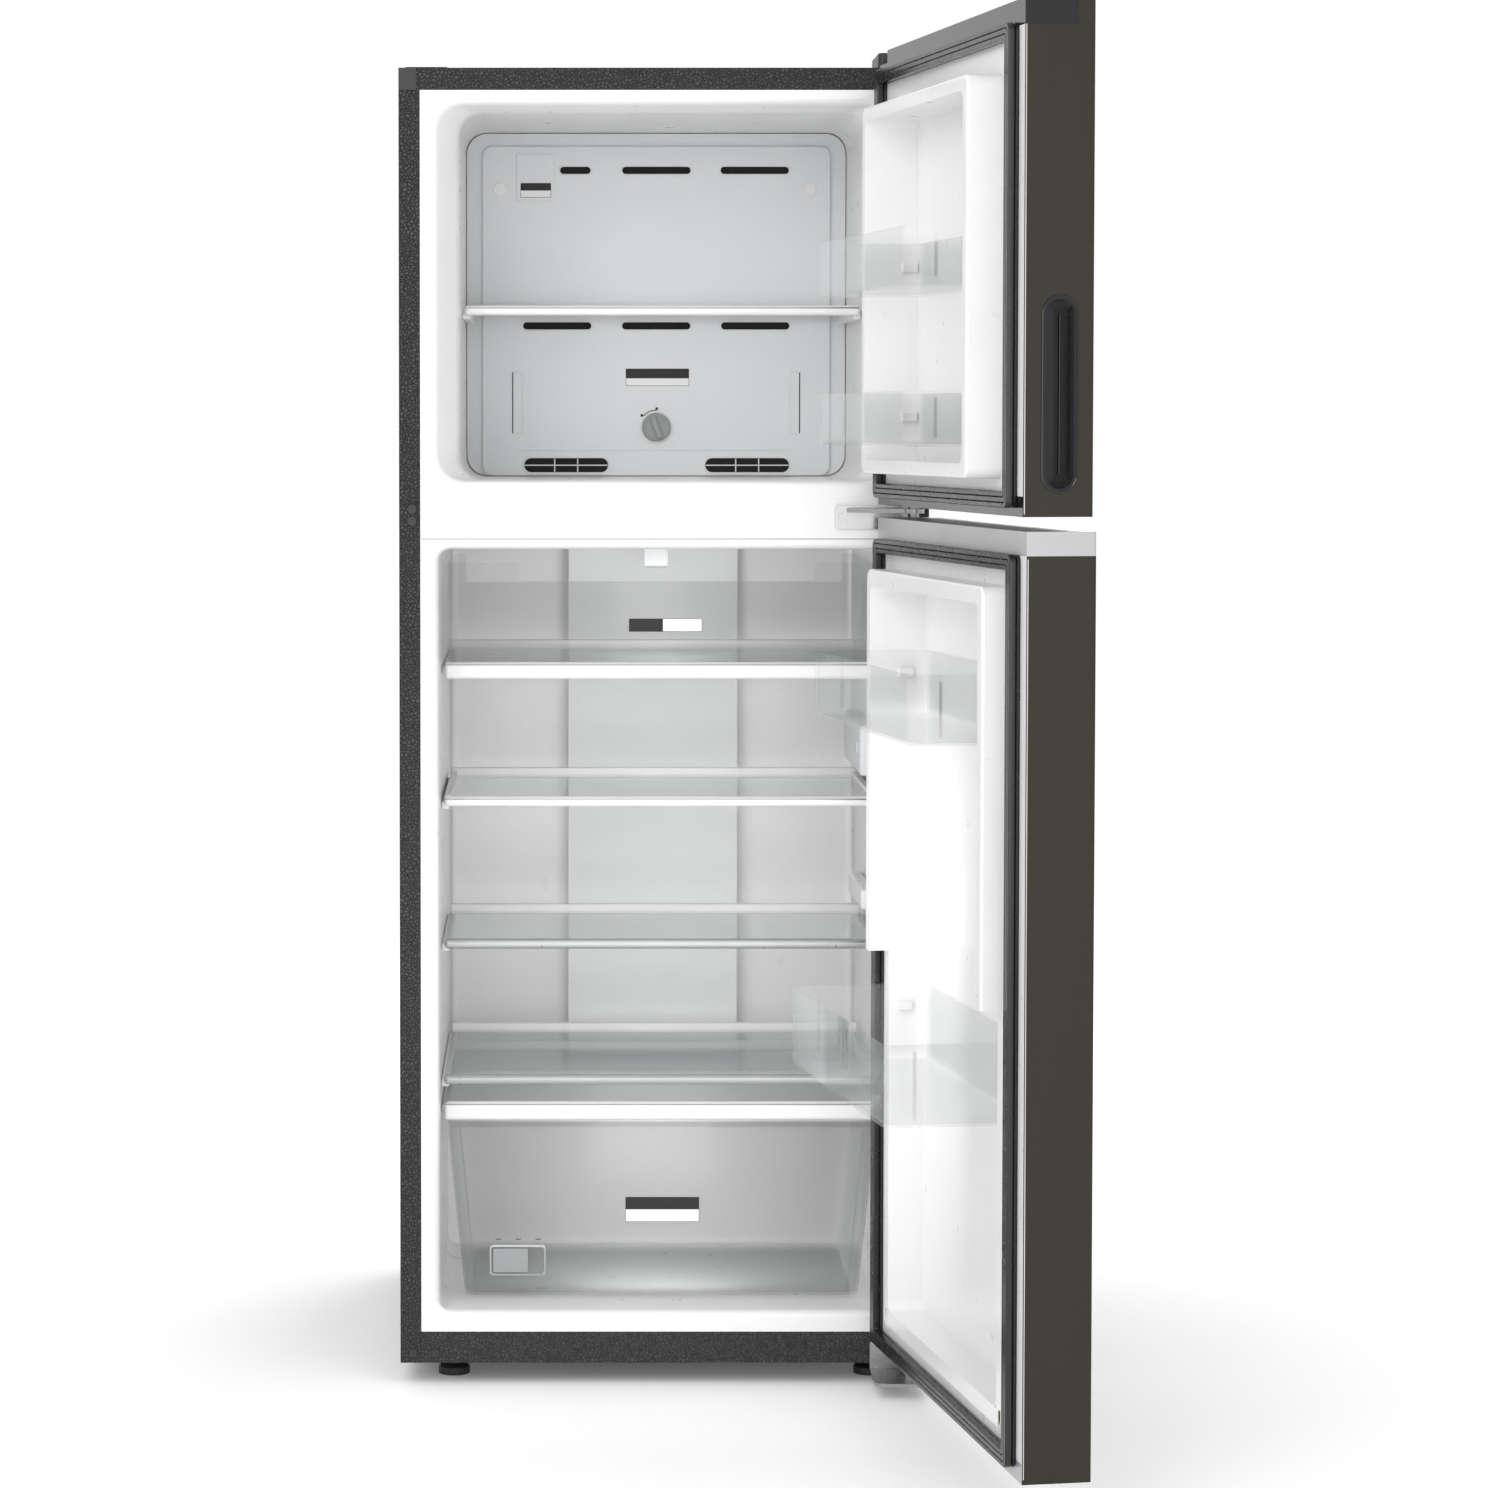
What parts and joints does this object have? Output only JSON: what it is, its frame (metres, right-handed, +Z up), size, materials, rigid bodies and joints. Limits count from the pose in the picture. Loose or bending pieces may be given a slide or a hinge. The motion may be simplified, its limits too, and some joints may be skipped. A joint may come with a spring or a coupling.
{
  "type": "top freezer refrigerator",
  "caption": "Free-standing refrigerator with a freezer above, two hinged doors stored open, glass shelves, clear drawers, door bins and a recessed side handle.",
  "frame": {"origin": "centre of the stored object's plan box at floor level, doors open", "axes": "+Z up, -Y towards a person facing the open doors, +X towards the hinge side"},
  "size_m": [0.7054, 1.2498, 1.515],
  "materials": {
    "textured_black_steel": "satin",
    "galvanised_steel": "satin",
    "bright_hinge_steel": "satin",
    "door_steel": "satin",
    "insulation": "matte",
    "white_liner": "gloss",
    "white_moulding": "satin",
    "black_plastic": "satin",
    "gloss_black": "gloss",
    "silver_trim": "satin",
    "gasket_rubber": "matte",
    "clear_plastic": "gloss",
    "shelf_glass": "gloss",
    "grey_control": "satin",
    "evaporator_aluminium": "satin",
    "compressor_paint": "satin",
    "copper_tube": "satin",
    "drain_plastic": "matte"
  },
  "bodies": {
    "cabinet": {"outer_wrapper": "textured_black_steel", "back_sheet": "galvanised_steel", "base_pan": "textured_black_steel", "cabinet_foam": "insulation", "freezer_liner": "white_liner", "fridge_liner": "white_liner", "mullion_cover": "white_liner", "corner_cap": "black_plastic", "top_hinge": "galvanised_steel", "hinge_cover": "black_plastic", "center_hinge": "bright_hinge_steel", "bottom_hinge": "bright_hinge_steel", "hinge_screws": "galvanised_steel", "hole_plugs": "black_plastic", "evaporator_cover": "white_moulding", "icemaker_cover": "white_moulding", "evaporator": "evaporator_aluminium", "fan_motor": "white_moulding", "air_duct": "white_moulding", "lamp_lens": "clear_plastic", "control_box": "white_moulding", "compressor": "compressor_paint", "compressor_grommets": "gasket_rubber", "refrigerant_pipes": "copper_tube", "drain_pan": "drain_plastic", "machine_cover": "galvanised_steel", "cord_gland": "black_plastic", "chiller_shelf": "shelf_glass", "crisper_cover": "shelf_glass"},
    "freezer_door": {"freezer_door_skin": "door_steel", "freezer_door_foam": "insulation", "freezer_door_liner": "white_liner", "freezer_door_gasket": "gasket_rubber", "freezer_door_caps": "black_plastic", "handle_pocket": "gloss_black"},
    "fridge_door": {"fridge_door_skin": "door_steel", "fridge_door_foam": "insulation", "fridge_door_liner": "white_liner", "fridge_door_gasket": "gasket_rubber", "fridge_door_caps": "silver_trim"},
    "freezer_bin_upper": {"freezer_bin_upper": "clear_plastic"},
    "freezer_bin_lower": {"freezer_bin_lower": "clear_plastic"},
    "fridge_bin_upper": {"fridge_bin_upper": "clear_plastic"},
    "fridge_bin_lower": {"fridge_bin_lower": "clear_plastic"},
    "bottle_retainer": {"bottle_retainer": "clear_plastic"},
    "freezer_shelf": {"freezer_shelf": "shelf_glass"},
    "fridge_shelf_upper": {"fridge_shelf_upper": "shelf_glass"},
    "fridge_shelf_middle": {"fridge_shelf_middle": "shelf_glass"},
    "fridge_shelf_lower": {"fridge_shelf_lower": "shelf_glass"},
    "chiller_drawer": {"chiller_drawer": "clear_plastic"},
    "crisper_drawer": {"crisper_drawer": "clear_plastic"},
    "humidity_slider": {"humidity_slider": "grey_control"},
    "freezer_dial": {"freezer_dial": "grey_control"},
    "evaporator_fan": {"evaporator_fan": "grey_control"},
    "left_foot": {"left_foot": "black_plastic"},
    "right_foot": {"right_foot": "black_plastic"},
    "left_roller": {"left_roller": "black_plastic"},
    "right_roller": {"right_roller": "black_plastic"},
    "temperature_button": {"temperature_button": "white_moulding"}
  },
  "joints": [
    {"name": "freezer_door_swing", "type": "hinge", "parent": "cabinet", "child": "freezer_door", "pos_m": [0.2261, -0.04911, 1.00665], "axis": [0, 0, 1], "range_deg": [-98.9, 21.1]},
    {"name": "fridge_door_swing", "type": "hinge", "parent": "cabinet", "child": "fridge_door", "pos_m": [0.2261, -0.04911, 0.053], "axis": [0, 0, 1], "range_deg": [-99.3, 20.7]},
    {"name": "freezer_bin_upper_lift", "type": "slide", "parent": "freezer_door", "child": "freezer_bin_upper", "axis": [0, 0, 1], "range_m": [0, 0.04]},
    {"name": "freezer_bin_lower_lift", "type": "slide", "parent": "freezer_door", "child": "freezer_bin_lower", "axis": [0, 0, 1], "range_m": [0, 0.04]},
    {"name": "fridge_bin_upper_lift", "type": "slide", "parent": "fridge_door", "child": "fridge_bin_upper", "axis": [0, 0, 1], "range_m": [0, 0.04]},
    {"name": "fridge_bin_lower_lift", "type": "slide", "parent": "fridge_door", "child": "fridge_bin_lower", "axis": [0, 0, 1], "range_m": [0, 0.04]},
    {"name": "bottle_retainer_slide", "type": "slide", "parent": "fridge_bin_lower", "child": "bottle_retainer", "axis": [0.1616, -0.9869, 0], "range_m": [-0.12, 0.13]},
    {"name": "freezer_shelf_slide", "type": "slide", "parent": "cabinet", "child": "freezer_shelf", "axis": [0, -1, 0], "range_m": [0, 0.11]},
    {"name": "fridge_shelf_upper_slide", "type": "slide", "parent": "cabinet", "child": "fridge_shelf_upper", "axis": [0, -1, 0], "range_m": [0, 0.088]},
    {"name": "fridge_shelf_middle_slide", "type": "slide", "parent": "cabinet", "child": "fridge_shelf_middle", "axis": [0, -1, 0], "range_m": [0, 0.088]},
    {"name": "fridge_shelf_lower_slide", "type": "slide", "parent": "cabinet", "child": "fridge_shelf_lower", "axis": [0, -1, 0], "range_m": [0, 0.063]},
    {"name": "chiller_drawer_slide", "type": "slide", "parent": "cabinet", "child": "chiller_drawer", "axis": [0, -1, 0], "range_m": [0, 0.105]},
    {"name": "crisper_drawer_slide", "type": "slide", "parent": "cabinet", "child": "crisper_drawer", "axis": [0, -1, 0], "range_m": [0, 0.078]},
    {"name": "humidity_slide", "type": "slide", "parent": "crisper_drawer", "child": "humidity_slider", "axis": [1, 0, 0], "range_m": [0, 0.017]},
    {"name": "dial_turn", "type": "hinge", "parent": "cabinet", "child": "freezer_dial", "pos_m": [-0.0529, 0.34489, 1.093], "axis": [0, -1, 0], "range_deg": [-60, 60]},
    {"name": "fan_spin", "type": "hinge", "parent": "cabinet", "child": "evaporator_fan", "pos_m": [-0.0529, 0.37489, 1.353], "axis": [0, -1, 0], "continuous": true},
    {"name": "left_foot_turn", "type": "hinge", "parent": "cabinet", "child": "left_foot", "pos_m": [-0.2929, 0.05989, 0], "axis": [0, 0, 1], "continuous": true},
    {"name": "left_roller_spin", "type": "hinge", "parent": "cabinet", "child": "left_roller", "pos_m": [-0.2929, 0.55989, 0.011], "axis": [1, 0, 0], "continuous": true},
    {"name": "right_foot_turn", "type": "hinge", "parent": "cabinet", "child": "right_foot", "pos_m": [0.1871, 0.05989, 0], "axis": [0, 0, 1], "continuous": true},
    {"name": "right_roller_spin", "type": "hinge", "parent": "cabinet", "child": "right_roller", "pos_m": [0.1871, 0.55989, 0.011], "axis": [1, 0, 0], "continuous": true},
    {"name": "button_press", "type": "slide", "parent": "cabinet", "child": "temperature_button", "axis": [1, 0, 0], "range_m": [0, 0.003], "stiffness_N_per_m": 400}
  ]
}
